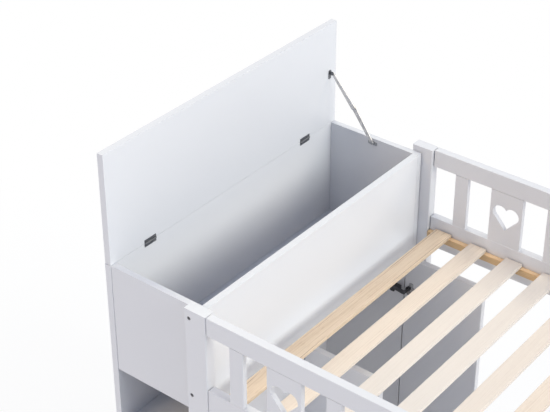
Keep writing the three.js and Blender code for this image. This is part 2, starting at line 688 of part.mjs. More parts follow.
function buildDoors() {
  const nearEdge = partitionY[0] + doorReveal;
  const farEdge = postInner - doorReveal;
  const meeting = (nearEdge + farEdge) / 2;
  buildDoor('near', -1, nearEdge, meeting - doorMiddleGap / 2, partitionY[1]);
  buildDoor('far', 1, farEdge, meeting + doorMiddleGap / 2, sideInner);
}

buildTower();
buildClothesRail();
buildFrame();
const nearRail = [-postOuter, -railInner];
const farRail = [railInner, postOuter];
const footRail = [totalLength - railThickness, totalLength];
const sideSpan = [headPostX[1] + seam, footPostX[0] - seam];
const nearTopSpan = [sideSpan[0], entryPostX[0] - seam];
const footSpan = [-postInner, postInner];
buildGuard('near', guardRows.near, 'x', sideSpan, nearTopSpan, nearRail);
buildGuard('far', guardRows.far, 'x', sideSpan, sideSpan, farRail);
buildGuard('foot', guardRows.foot, 'y', footSpan, footSpan, footRail);
buildSlats();
buildLid();
buildStay();
buildDoors();

export default bed;
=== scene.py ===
import bpy
import bmesh
import json
import math
from mathutils import Matrix, Vector


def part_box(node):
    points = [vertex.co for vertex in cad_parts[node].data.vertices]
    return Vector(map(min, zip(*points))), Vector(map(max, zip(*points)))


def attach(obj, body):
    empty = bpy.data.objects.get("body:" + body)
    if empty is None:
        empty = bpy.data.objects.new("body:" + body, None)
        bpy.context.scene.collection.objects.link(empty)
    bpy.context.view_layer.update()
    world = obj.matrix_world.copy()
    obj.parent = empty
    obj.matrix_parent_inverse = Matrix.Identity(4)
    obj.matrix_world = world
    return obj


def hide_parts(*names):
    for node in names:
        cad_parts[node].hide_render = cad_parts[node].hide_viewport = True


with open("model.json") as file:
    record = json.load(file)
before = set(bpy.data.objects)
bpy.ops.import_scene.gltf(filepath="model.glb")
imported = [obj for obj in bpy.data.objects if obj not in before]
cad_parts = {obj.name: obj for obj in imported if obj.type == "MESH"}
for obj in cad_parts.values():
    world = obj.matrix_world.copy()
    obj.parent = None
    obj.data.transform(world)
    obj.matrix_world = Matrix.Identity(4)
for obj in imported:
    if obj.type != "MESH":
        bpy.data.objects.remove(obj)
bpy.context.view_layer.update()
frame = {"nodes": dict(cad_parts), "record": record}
bodies = frame["record"]["behaviour"]["bodies"]
bodyOfNode = {node: body for body, nodes in bodies.items() for node in nodes}
print("stage: frame loaded,", len(frame["nodes"]), "nodes")

# camera, set from the straight edges in the photograph
cameraSettings = {
    "place": (0.8862, -2.3788, 3.1226),
    "azimuthDeg": 38.27,
    "elevationDeg": 31.49,
    "focalPixels": 1444.71,
    "opticalCentrePixel": (282.68, 167.02),
    "photoPixels": (550, 412),
    "sensorWidth": 36.0,
    "clipEnd": 200.0,
}
studioSettings = {
    "floorSize": 60.0,
    "floorColour": (0.87, 0.87, 0.88, 1.0),
    "floorRoughness": 0.9,
    "floorSpecular": 0.1,
    "worldColour": (0.59, 0.705, 1.0, 1.0),
    "worldStrength": 0.55,
    # share of plain white that the camera sees in the floor, near the bed and with distance from it
    "whiteNear": 0.84,
    "whiteFrom": 1.6,
    "whiteFull": 3.2,
    # wide suns, which have no fall-off and light both ends of the bed alike
    "sunWidthDeg": 27.0,
    # name, direction seen from the bed, colour and strength
    "suns": [
        ("footLight", (24.0, 0.0, 13.5), (0.97, 1.0, 0.95), 1.8),
        ("farLight", (21.0, 15.0, 13.5), (1.0, 0.9, 0.73), 0.7),
        ("nearLight", (-8.0, -21.0, 13.5), (1.0, 0.79, 0.52), 0.83),
        ("topLight", (-13.0, 10.0, 20.5), (1.0, 0.96, 0.78), 1.1),
    ],
}


def placeObject(name, data):
    placed = bpy.data.objects.new(name, data)
    bpy.context.scene.collection.objects.link(placed)
    return placed


def makeCamera():
    use = cameraSettings
    width, height = use["photoPixels"]
    centreU, centreV = use["opticalCentrePixel"]
    data = bpy.data.cameras.new("photoCamera")
    data.sensor_width = use["sensorWidth"]
    data.lens = use["focalPixels"] / width * use["sensorWidth"]
    data.shift_x = (width / 2 - centreU) / width
    data.shift_y = (centreV - height / 2) / width
    data.clip_end = use["clipEnd"]
    camera = placeObject("photoCamera", data)
    camera.location = use["place"]
    tilt = math.radians(90 - use["elevationDeg"])
    camera.rotation_euler = (tilt, 0, math.radians(use["azimuthDeg"]))
    bpy.context.scene.camera = camera


makeCamera()
bpy.context.scene.view_settings.view_transform = "Standard"
print("stage: camera")


# node helpers: an input is given either another node's socket or a plain value
def addNode(tree, kind, inputs=None, **settings):
    node = tree.nodes.new(kind)
    for key, value in settings.items():
        setattr(node, key, value)
    for key, value in (inputs or {}).items():
        socket = node.inputs[key]
        if isinstance(value, bpy.types.NodeSocket):
            tree.links.new(value, socket)
        else:
            socket.default_value = value
    return node


def newGroup(name, kind, inputs, outputs):
    tree = bpy.data.node_groups.new(name, kind)
    for label, socketType, default in inputs:
        socket = tree.interface.new_socket(name=label, in_out="INPUT", socket_type=socketType)
        if default is not None:
            socket.default_value = default
    for label, socketType in outputs:
        tree.interface.new_socket(name=label, in_out="OUTPUT", socket_type=socketType)
    return tree, tree.nodes.new("NodeGroupInput"), tree.nodes.new("NodeGroupOutput")


def giveOut(tree, out, values):
    for label, value in values.items():
        tree.links.new(value, out.inputs[label])


def mixColour(tree, factor, first, second, blend="MIX"):
    # sockets 0, 6 and 7 are the factor and the two colours
    return addNode(tree, "ShaderNodeMix", {0: factor, 6: first, 7: second}, data_type="RGBA",
                   blend_type=blend).outputs[2]


def maths(tree, operation, first, second=0.0, clamp=False):
    return addNode(tree, "ShaderNodeMath", {0: first, 1: second}, operation=operation,
                   use_clamp=clamp).outputs[0]


def total(tree, first, *others):
    for other in others:
        first = maths(tree, "ADD", first, other)
    return first


def product(tree, first, *others):
    for other in others:
        first = maths(tree, "MULTIPLY", first, other)
    return first


def remap(tree, value, low, high, toLow, toHigh):
    return addNode(tree, "ShaderNodeMapRange", {
        "Value": value, "From Min": low, "From Max": high, "To Min": toLow,
        "To Max": toHigh}).outputs["Result"]


def noise(tree, place, scale, detail):
    return addNode(tree, "ShaderNodeTexNoise", {
        "Vector": place, "Scale": scale, "Detail": detail}).outputs["Fac"]


def stretched(tree, place, scale):
    return addNode(tree, "ShaderNodeMapping", {"Vector": place, "Scale": scale}).outputs[0]


def greyColour(tree, level):
    return addNode(tree, "ShaderNodeCombineColor", {
        label: level for label in ("Red", "Green", "Blue")}).outputs["Color"]


skinOutputs = [("Colour", "NodeSocketColor"), ("Roughness", "NodeSocketFloat"),
               ("Height", "NodeSocketFloat")]

# sprayed paint: a faint drift of tone and a fine orange peel
paintSettings = {
    "cloudScale": 3.1, "cloudDetail": 3.0, "speckScale": 95.0, "speckDetail": 2.0, "peelDetail": 1.5,
    "speckShare": 0.35, "meanTone": 0.67, "roughSpread": 0.16,
}


def makePaintGroup():
    use = paintSettings
    tree, given, out = newGroup("paintSkin", "ShaderNodeTree", [
        ("Colour", "NodeSocketColor", (0.9, 0.9, 0.92, 1)),
        ("Drift", "NodeSocketFloat", 0.02),
        ("Peel Size", "NodeSocketFloat", 420.0),
        ("Base Roughness", "NodeSocketFloat", 0.42),
    ], skinOutputs)
    place = addNode(tree, "ShaderNodeTexCoord").outputs["Object"]
    cloud = noise(tree, place, use["cloudScale"], use["cloudDetail"])
    speck = noise(tree, place, use["speckScale"], use["speckDetail"])
    peel = noise(tree, place, given.outputs["Peel Size"], use["peelDetail"])
    tone = total(tree, cloud, product(tree, speck, use["speckShare"]))
    tone = product(tree, maths(tree, "SUBTRACT", tone, use["meanTone"]), given.outputs["Drift"])
    tint = greyColour(tree, total(tree, tone, 1.0))
    spread = product(tree, maths(tree, "SUBTRACT", speck, 0.5), use["roughSpread"])
    giveOut(tree, out, {
        "Colour": mixColour(tree, 1.0, given.outputs["Colour"], tint, "MULTIPLY"),
        "Roughness": total(tree, given.outputs["Base Roughness"], spread),
        "Height": peel})
    return tree


# planed pine: growth rings cut along the board, pores, flecks, dark veins and a few knots.
# Run is the direction of the grain: 0 along Y, 1 along X. Board moves the grain for each board.
# One input darkens the faces that stand upright: painted shade, which keeps them darker than the tops.
pineSettings = {
    # noise drawn out along the grain: stretch, scale and detail of each
    "sway": (0.055, 13.0, 2.0), "uneven": (0.03, 85.0, 1.0), "ringStrength": (0.02, 60.0, 1.0),
    "pore": (0.02, 900.0, 2.0), "streak": (0.025, 260.0, 1.0), "fleck": (0.09, 420.0, 1.0),
    "veinFade": (0.12, 30.0, 1.0),
    # how far the board's number, slow waves and knots move the rings, in metres
    "boardShift": 7.3, "swayReach": 0.07, "unevenReach": 0.012, "knotPush": 0.018,
    # rings: their tilt in the board, and how late wood gathers at the end of a ring
    "ringTilt": 1.7, "latePower": 2.6,
    "knotStretch": 0.55, "knotScale": 4.3, "knotShare": 0.8,
    # a vein every few centimetres across the grain, which wavers and fades in and out
    "veinPitch": 0.037, "veinSway": 0.35, "veinUneven": 0.5,
    "washScale": 5.0, "washDetail": 2.0, "washShare": 0.35, "poreShare": 0.4,
    "lateHeight": 0.6, "poreHeight": 0.5,
}
# what each mask is made from and turned into: from low, from high, to low, to high
pineRanges = {
    "knotMask": (0.018, 0.042, 1.0, 0.0), "knotHalo": (0.03, 0.2, 1.0, 0.0),
    "ringStrength": (0.35, 0.65, 0.25, 1.0), "streak": (0.52, 0.68, 0.0, 0.45),
    "fleck": (0.6, 0.68, 0.0, 0.45), "veinFade": (0.4, 0.52, 0.0, 1.0),
    "veinLine": (0.0002, 0.0009, 1.0, 0.0), "roughness": (0.0, 1.0, 0.66, 0.52),
}
# share of a face's normal that points up, where the painted side shade is full and where it ends
sideShadeFacing = (0.3, 0.8)


def makePineGroup():
    use = pineSettings
    tree, given, out = newGroup("pineGrain", "ShaderNodeTree", [
        ("Early Wood", "NodeSocketColor", (0.74, 0.6, 0.45, 1)),
        ("Late Wood", "NodeSocketColor", (0.52, 0.35, 0.21, 1)),
        ("Dark Wood", "NodeSocketColor", (0.3, 0.18, 0.1, 1)),
        ("Ring Width", "NodeSocketFloat", 0.006),
        ("Ring Contrast", "NodeSocketFloat", 0.5),
        ("Knots", "NodeSocketFloat", 1.0),
        ("Veins", "NodeSocketFloat", 0.6),
        ("Painted Side Shade", "NodeSocketFloat", 0.8),
        ("Board", "NodeSocketFloat", 0.0),
        ("Run", "NodeSocketFloat", 0.0),
    ], skinOutputs)
    place = addNode(tree, "ShaderNodeTexCoord").outputs["Object"]
    parts = addNode(tree, "ShaderNodeSeparateXYZ", {"Vector": place})
    run = given.outputs["Run"]
    contrast = given.outputs["Ring Contrast"]
    swapped = maths(tree, "SUBTRACT", 1.0, run)

    def either(first, second):
        return total(tree, product(tree, first, swapped), product(tree, second, run))

    along = either(parts.outputs["Y"], parts.outputs["X"])
    across = either(parts.outputs["X"], parts.outputs["Y"])
    boardShift = product(tree, given.outputs["Board"], use["boardShift"])
    shifted = total(tree, across, boardShift)
    local = addNode(tree, "ShaderNodeCombineXYZ", {
        "X": shifted, "Y": along, "Z": parts.outputs["Z"]}).outputs[0]

    def alongGrain(name):
        stretch, scale, detail = use[name]
        return noise(tree, stretched(tree, local, (1.0, stretch, 1.0)), scale, detail)

    def mask(name, value):
        return remap(tree, value, *pineRanges[name])

    def centred(value, amount):
        return product(tree, maths(tree, "SUBTRACT", value, 0.5), amount)

    sway = centred(alongGrain("sway"), use["swayReach"])
    uneven = centred(alongGrain("uneven"), use["unevenReach"])
    # knots: a few stretched cells along the boards push the rings aside
    knot = addNode(tree, "ShaderNodeTexVoronoi", {
        "Vector": stretched(tree, local, (1.0, use["knotStretch"], 1.0)), "Scale": use["knotScale"],
        "Randomness": 1.0}).outputs["Distance"]
    push = product(tree, mask("knotHalo", knot), given.outputs["Knots"], use["knotPush"])
    depth = total(tree, across, product(tree, parts.outputs["Z"], use["ringTilt"]))
    ringPlace = total(tree, total(tree, depth, boardShift), total(tree, sway, push), uneven)
    ring = maths(tree, "FRACT", maths(tree, "DIVIDE", ringPlace, given.outputs["Ring Width"]))
    strength = mask("ringStrength", alongGrain("ringStrength"))
    late = product(tree, maths(tree, "POWER", ring, use["latePower"]), strength)
    pore = alongGrain("pore")
    # the distance to the nearest vein, which is turned into a thin dark line
    waver = total(tree, product(tree, sway, use["veinSway"]), product(tree, uneven, use["veinUneven"]))
    veinPlace = maths(tree, "DIVIDE", total(tree, shifted, waver), use["veinPitch"])
    toVein = product(tree, maths(tree, "ABSOLUTE", centred(maths(tree, "FRACT", veinPlace), 1.0)),
                     use["veinPitch"])
    veinFade = mask("veinFade", alongGrain("veinFade"))
    veinLine = product(tree, mask("veinLine", toVein), given.outputs["Veins"], veinFade)
    wash = noise(tree, local, use["washScale"], use["washDetail"])
    share = total(tree, product(tree, late, contrast), centred(pore, use["poreShare"]),
                  centred(wash, use["washShare"]))
    marks = total(tree, mask("fleck", alongGrain("fleck")), mask("streak", alongGrain("streak")))
    share = maths(tree, "ADD", share, product(tree, marks, contrast), clamp=True)
    colour = mixColour(tree, share, given.outputs["Early Wood"], given.outputs["Late Wood"])
    knotDepth = product(tree, given.outputs["Knots"], use["knotShare"])
    dark = maths(tree, "MAXIMUM", product(tree, mask("knotMask", knot), knotDepth), veinLine)
    colour = mixColour(tree, dark, colour, given.outputs["Dark Wood"])
    # painted shade: the faces that stand upright are darkened against the tops
    facing = addNode(tree, "ShaderNodeTexCoord").outputs["Normal"]
    facingUp = addNode(tree, "ShaderNodeSeparateXYZ", {"Vector": facing}).outputs["Z"]
    sideShade = remap(tree, maths(tree, "ABSOLUTE", facingUp), *sideShadeFacing, given.outputs["Painted Side Shade"], 1.0)
    giveOut(tree, out, {
        "Colour": mixColour(tree, 1.0, colour, greyColour(tree, sideShade), "MULTIPLY"),
        "Roughness": mask("roughness", share),
        "Height": total(tree, product(tree, late, use["lateHeight"]),
                        product(tree, pore, use["poreHeight"]))})
    return tree


# rolled or plated metal: fine drawn lines and a little tarnish
metalSettings = {
    "cloudScale": 60.0, "cloudDetail": 4.0, "cloudRange": (0.35, 0.75, 0.0, 1.0),
    "lineStretch": (0.12, 1.0, 0.12), "lineDetail": 2.0, "tarnishRoughness": 0.3,
}


def makeMetalGroup():
    use = metalSettings
    tree, given, out = newGroup("drawnMetal", "ShaderNodeTree", [
        ("Colour", "NodeSocketColor", (0.6, 0.6, 0.62, 1)),
        ("Tarnish Colour", "NodeSocketColor", (0.3, 0.3, 0.32, 1)),
        ("Tarnish", "NodeSocketFloat", 0.3),
        ("Base Roughness", "NodeSocketFloat", 0.3),
        ("Line Scale", "NodeSocketFloat", 1500.0),
    ], skinOutputs)
    place = addNode(tree, "ShaderNodeTexCoord").outputs["Object"]
    cloud = noise(tree, place, use["cloudScale"], use["cloudDetail"])
    line = noise(tree, stretched(tree, place, use["lineStretch"]), given.outputs["Line Scale"],
                 use["lineDetail"])
    share = product(tree, remap(tree, cloud, *use["cloudRange"]), given.outputs["Tarnish"])
    giveOut(tree, out, {
        "Colour": mixColour(tree, share, given.outputs["Colour"], given.outputs["Tarnish Colour"]),
        "Roughness": total(tree, given.outputs["Base Roughness"],
                           product(tree, share, use["tarnishRoughness"])),
        "Height": line})
    return tree


paintGroup = makePaintGroup()
pineGroup = makePineGroup()
metalGroup = makeMetalGroup()

# slats: the colour that paler ones tend to, and the tone from which a slat has no veins
slatTones = {"pale": (0.755, 0.715, 0.675, 1), "veinsUpTo": 0.45}


def finishMaterial(name, group, values, bumpStrength, bumpDistance, metallic=0.0, boardTone=0.0):
    material = bpy.data.materials.new(name)
    material.use_nodes = True
    tree = material.node_tree
    surface = tree.nodes["Principled BSDF"]
    surface.inputs["Metallic"].default_value = metallic
    finish = addNode(tree, "ShaderNodeGroup", node_tree=group)
    for label, value in values.items():
        finish.inputs[label].default_value = value
    colour = finish.outputs["Colour"]
    if boardTone:
        # each slat carries its own number, which moves the grain and shifts its tone
        tone = addNode(tree, "ShaderNodeAttribute", attribute_name="boardTone")
        tree.links.new(tone.outputs["Fac"], finish.inputs["Board"])
        pale = remap(tree, tone.outputs["Fac"], 0.0, 1.0, 0.0, boardTone)
        colour = mixColour(tree, pale, colour, slatTones["pale"])
        quiet = remap(tree, tone.outputs["Fac"], 0.0, slatTones["veinsUpTo"], values["Veins"], 0.0)
        tree.links.new(quiet, finish.inputs["Veins"])
    bump = addNode(tree, "ShaderNodeBump", {"Height": finish.outputs["Height"], "Strength": bumpStrength,
                                            "Distance": bumpDistance})
    tree.links.new(colour, surface.inputs["Base Color"])
    tree.links.new(finish.outputs["Roughness"], surface.inputs["Roughness"])
    tree.links.new(bump.outputs["Normal"], surface.inputs["Normal"])
    return material


paintedBoard = finishMaterial("paintedBoard", paintGroup, {
    "Colour": (0.7, 0.7, 0.715, 1), "Drift": 0.03, "Peel Size": 420.0, "Base Roughness": 0.4},
    bumpStrength=0.08, bumpDistance=0.0004)
paintedPine = finishMaterial("paintedPine", paintGroup, {
    "Colour": (0.71, 0.71, 0.725, 1), "Drift": 0.04, "Peel Size": 300.0, "Base Roughness": 0.38},
    bumpStrength=0.12, bumpDistance=0.0005)
# both pines paint shade on their upright faces, so that these stay darker than the tops
slatPine = finishMaterial("slatPine", pineGroup, {
    "Early Wood": (0.865, 0.678, 0.485, 1), "Late Wood": (0.59, 0.385, 0.215, 1),
    "Dark Wood": (0.3, 0.165, 0.08, 1), "Ring Width": 0.0046, "Ring Contrast": 0.5, "Knots": 0.7,
    "Veins": 0.85, "Painted Side Shade": 0.72, "Run": 0.0}, bumpStrength=0.3, bumpDistance=0.0005, boardTone=0.8)
ledgerPine = finishMaterial("ledgerPine", pineGroup, {
    "Early Wood": (0.95, 0.66, 0.36, 1), "Late Wood": (0.76, 0.44, 0.2, 1),
    "Dark Wood": (0.3, 0.15, 0.07, 1), "Ring Width": 0.006, "Ring Contrast": 0.45, "Knots": 0.6,
    "Veins": 0.3, "Painted Side Shade": 0.68, "Run": 1.0}, bumpStrength=0.3, bumpDistance=0.0005)
# slot, colour, tarnish colour, tarnish, roughness, bump strength and metallic share
metalFinishes = {
    "hingeSteel": ("dark_metal", (0.2, 0.21, 0.23, 1), (0.1, 0.1, 0.11, 1), 0.5, 0.36, 0.15, 0.85),
    "bracketSteel": ("dark_metal", (0.42, 0.43, 0.45, 1), (0.25, 0.25, 0.26, 1), 0.4, 0.36, 0.15, 0.85),
    "staySteel": ("bright_metal", (0.71, 0.7, 0.7, 1), (0.5, 0.49, 0.49, 1), 0.4, 0.34, 0.15, 0.9),
    "nickel": ("bright_metal", (0.68, 0.67, 0.65, 1), (0.5, 0.49, 0.47, 1), 0.3, 0.24, 0.08, 1.0),
    "zincScrew": ("bright_metal", (0.5, 0.5, 0.5, 1), (0.34, 0.33, 0.31, 1), 0.4, 0.34, 0.1, 0.95),
    "greyBolt": ("dark_metal", (0.25, 0.25, 0.26, 1), (0.14, 0.14, 0.145, 1), 0.4, 0.4, 0.1, 0.55),
    # near black on the hinge arms: painted shade, not the colour of the steel
    "paintedShadeSteel": ("dark_metal", (0.06, 0.06, 0.066, 1), (0.13, 0.13, 0.14, 1), 0.5, 0.3, 0.12, 0.6),
    "darkNickel": ("dark_metal", (0.52, 0.52, 0.54, 1), (0.2, 0.2, 0.21, 1), 0.5, 0.2, 0.08, 0.95),
}
metalBumpDistance = 0.0002
metals = {}
for name, (slot, colour, tarnished, tarnish, roughness, bumpStrength, metallic) in metalFinishes.items():
    metals[name] = finishMaterial(name, metalGroup, {
        "Colour": colour, "Tarnish Colour": tarnished, "Tarnish": tarnish,
        "Base Roughness": roughness}, bumpStrength, metalBumpDistance, metallic)
tapeWeave = finishMaterial("tapeWeave", paintGroup, {
    "Colour": (0.92, 0.64, 0.37, 1), "Drift": 0.2, "Peel Size": 1600.0, "Base Roughness": 0.85},
    bumpStrength=0.6, bumpDistance=0.0006)
print("stage: materials")


# mesh helpers
weldReach = 1e-6


def addPiece(name, mesh, material, body, replaced=()):
    mesh.name = name
    mesh.materials.clear()
    mesh.materials.append(material)
    piece = placeObject(name, mesh)
    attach(piece, body)
    if replaced:
        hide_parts(*replaced)
    return piece


def meshOf(shape, name):
    mesh = bpy.data.meshes.new(name)
    shape.to_mesh(mesh)
    shape.free()
    return mesh


def evaluatedMesh(holder):
    # the mesh of an object with its modifiers applied
    return bpy.data.meshes.new_from_object(holder.evaluated_get(bpy.context.evaluated_depsgraph_get()))


def settledMesh(shape, smoothDeg=50.0):
    # smooth over the eased edges while the flat faces keep their own normals
    mesh = meshOf(shape, "shape")
    mesh.shade_smooth()
    mesh.set_sharp_from_angle(angle=math.radians(smoothDeg))
    holder = placeObject("holder", mesh)
    evened = holder.modifiers.new("evened", "WEIGHTED_NORMAL")
    evened.keep_sharp = True
    settled = evaluatedMesh(holder)
    bpy.data.objects.remove(holder)
    bpy.data.meshes.remove(mesh)
    return settled


def turnedMesh(name, profile, sides):
    # a profile of radius and height, turned round Z
    shape = bmesh.new()
    line = [shape.verts.new((radius, 0.0, height)) for radius, height in profile]
    for first, second in zip(line, line[1:]):
        shape.edges.new((first, second))
    bmesh.ops.spin(shape, geom=shape.verts[:] + shape.edges[:], cent=(0, 0, 0), axis=(0, 0, 1),
                   angle=2 * math.pi, steps=sides, use_duplicate=False)
    bmesh.ops.remove_doubles(shape, verts=shape.verts, dist=weldReach)
    bmesh.ops.recalc_face_normals(shape, faces=shape.faces)
    return meshOf(shape, name)


def convexEdges(shape, overDeg):
    limit = math.radians(overDeg)
    return [edge for edge in shape.edges
            if len(edge.link_faces) == 2 and edge.calc_face_angle_signed(0.0) > limit]


# a CAD node's own shape with its sharp edges eased, standing for the node
easingSettings = {
    "sharpDeg": 40.0, "steps": 2, "uprightSteps": 3, "uprightShare": 0.9,
    "cadWeld": 2e-6, "flatDeg": 0.4, "outerReach": 1e-5,
}


def easedNode(node, material, easing, uprightEasing=0.0, sideSetBack=0.0):
    use = easingSettings
    shape = bmesh.new()
    shape.from_mesh(frame["nodes"][node].data)
    if sideSetBack:
        low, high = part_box(node)
        outer = max(low[1], high[1], key=abs)
        for vert in shape.verts:
            if abs(vert.co.y - outer) < use["outerReach"]:
                vert.co.y -= math.copysign(sideSetBack, outer)
    bmesh.ops.remove_doubles(shape, verts=shape.verts, dist=use["cadWeld"])
    bmesh.ops.dissolve_limit(shape, angle_limit=math.radians(use["flatDeg"]), verts=shape.verts,
                             edges=shape.edges)
    if uprightEasing:
        uprights = []
        for edge in convexEdges(shape, use["sharpDeg"]):
            rise = abs(edge.verts[1].co.z - edge.verts[0].co.z)
            if rise > use["uprightShare"] * edge.calc_length():
                uprights.append(edge)
        bmesh.ops.bevel(shape, geom=uprights, offset=uprightEasing, segments=use["uprightSteps"],
                        profile=0.5, affect="EDGES", clamp_overlap=True)
    bmesh.ops.bevel(shape, geom=convexEdges(shape, use["sharpDeg"]), offset=easing, segments=use["steps"],
                    profile=0.5, affect="EDGES", clamp_overlap=True)
    return addPiece(node + "_finished", settledMesh(shape), material, bodyOfNode[node], (node,))


# a planed bar in a box: long edges rounded more than the ends
barSettings = {"longShare": 0.5, "sharpDeg": 60.0, "endSteps": 2}


def barShape(low, high, axis, longEdge, endEdge, steps=5):
    use = barSettings
    shape = bmesh.new()
    bmesh.ops.create_cube(shape, size=1.0)
    centre = (Vector(low) + Vector(high)) / 2
    extent = Vector(high) - Vector(low)
    bmesh.ops.transform(shape, verts=shape.verts,
                        matrix=Matrix.Translation(centre) @ Matrix.Diagonal((*extent, 1.0)))
    longEdges = [edge for edge in shape.edges
                 if abs((edge.verts[1].co - edge.verts[0].co)[axis]) > use["longShare"] * extent[axis]]
    bmesh.ops.bevel(shape, geom=longEdges, offset=longEdge, segments=steps, profile=0.5, affect="EDGES")
    bmesh.ops.bevel(shape, geom=convexEdges(shape, use["sharpDeg"]), offset=endEdge,
                    segments=use["endSteps"], profile=0.5, affect="EDGES")
    return shape


def barMesh(low, high, axis, longEdge, endEdge, steps=5):
    return settledMesh(barShape(low, high, axis, longEdge, endEdge, steps))


# boards and posts that keep their CAD shape
boardFinish = {
    "edge": 0.0009, "lidJointEdge": 0.0003, "sideUprights": 0.0018, "sideSetBack": 0.0016,
    "postEdge": 0.0007, "postUprights": 0.0012,
}
boardNodes = ["end_panel", "near_cover_panel", "far_side_panel", "chest_front_wall", "chest_floor",
              "tower_base", "wardrobe_partition", "cubby_side_panel", "near_toe_kick", "wardrobe_toe_kick",
              "cubby_shelf_1", "cubby_shelf_2", "cubby_shelf_3", "chest_lid", "near_door", "far_door"]
postNodes = ["near_head_post", "far_head_post", "near_foot_post", "far_foot_post", "entry_post",
             "ladder_upright", "ladder_rung_1", "ladder_rung_2", "ladder_rung_3"]
# the outer face of a side panel keeps a dark joint to the posts
sideNodes = ("near_cover_panel", "far_side_panel")
# the open lid stands on the end panel with hardly a line between them
lidJointNodes = ("end_panel", "chest_lid")
for node in boardNodes:
    edge = boardFinish["lidJointEdge"] if node in lidJointNodes else boardFinish["edge"]
    rounder = boardFinish["sideUprights"] if node in sideNodes else 0.0
    setBack = boardFinish["sideSetBack"] if node in sideNodes else 0.0
    easedNode(node, paintedBoard, edge, rounder, setBack)
for node in postNodes:
    rounder = 0.0 if "rung" in node else boardFinish["postUprights"]
    easedNode(node, paintedPine, boardFinish["postEdge"], rounder)
print("stage: boards and posts")

# fittings that keep their CAD shape
fittingEdge = 0.00025
fittings = {
    "near_lid_hinge_upper_leaf": "hingeSteel", "near_lid_hinge_lower_leaf": "hingeSteel",
    "far_lid_hinge_upper_leaf": "hingeSteel", "far_lid_hinge_lower_leaf": "hingeSteel",
    "near_lid_hinge_pin": "hingeSteel", "far_lid_hinge_pin": "hingeSteel",
    "stay_panel_bracket": "bracketSteel", "stay_lid_bracket": "hingeSteel",
    "stay_lower_arm": "staySteel", "stay_upper_arm": "staySteel",
    "near_door_hinge_cup_1": "darkNickel", "near_door_hinge_cup_2": "darkNickel",
    "far_door_hinge_cup_1": "darkNickel", "far_door_hinge_cup_2": "darkNickel",
    # the hinge arms take the near-black steel, which paints shade on them
    "near_door_hinge_arm_1": "paintedShadeSteel", "near_door_hinge_arm_2": "paintedShadeSteel",
    "far_door_hinge_arm_1": "paintedShadeSteel", "far_door_hinge_arm_2": "paintedShadeSteel",
    "near_chest_bolt_1": "greyBolt", "near_chest_bolt_2": "greyBolt",
    "far_chest_bolt_1": "greyBolt", "far_chest_bolt_2": "greyBolt",
    "clothes_rail": "nickel", "near_clothes_rail_socket": "nickel", "far_clothes_rail_socket": "nickel",
}
for node, metal in fittings.items():
    easedNode(node, metals[metal], fittingEdge)
print("stage: fittings")


# one row of equal boards, set out evenly, each with its own tone
def makeRowTree():
    tree, given, out = newGroup("boardRow", "GeometryNodeTree", [
        ("Geometry", "NodeSocketGeometry", None),
        ("Board", "NodeSocketObject", None),
        ("Count", "NodeSocketInt", 6),
        ("Step", "NodeSocketVector", (0.1, 0, 0)),
        ("Slide", "NodeSocketVector", (0, 0, 0)),
        ("Seed", "NodeSocketInt", 1),
        ("Material", "NodeSocketMaterial", None),
    ], [("Geometry", "NodeSocketGeometry")])
    line = addNode(tree, "GeometryNodeMeshLine", {"Count": given.outputs["Count"],
                                                  "Offset": given.outputs["Step"]}, mode="OFFSET")
    back = addNode(tree, "ShaderNodeVectorMath", {0: given.outputs["Slide"], 1: (-1, -1, -1)},
                   operation="MULTIPLY")
    slide = addNode(tree, "FunctionNodeRandomValue", {0: back.outputs[0], 1: given.outputs["Slide"],
                                                      "Seed": given.outputs["Seed"]},
                    data_type="FLOAT_VECTOR")
    moved = addNode(tree, "GeometryNodeSetPosition", {"Geometry": line.outputs["Mesh"],
                                                      "Offset": slide.outputs[0]})
    board = addNode(tree, "GeometryNodeObjectInfo", {"Object": given.outputs["Board"]})
    placed = addNode(tree, "GeometryNodeInstanceOnPoints", {"Points": moved.outputs[0],
                                                           "Instance": board.outputs["Geometry"]})
    number = addNode(tree, "FunctionNodeRandomValue", {"Seed": given.outputs["Seed"]}, data_type="FLOAT")
    toned = addNode(tree, "GeometryNodeStoreNamedAttribute", {
        "Geometry": placed.outputs[0], "Name": "boardTone", "Value": number.outputs[1]},
        data_type="FLOAT", domain="INSTANCE")
    solid = addNode(tree, "GeometryNodeRealizeInstances", {"Geometry": toned.outputs[0]})
    painted = addNode(tree, "GeometryNodeSetMaterial", {"Geometry": solid.outputs[0],
                                                        "Material": given.outputs["Material"]})
    giveOut(tree, out, {"Geometry": painted.outputs[0]})
    return tree


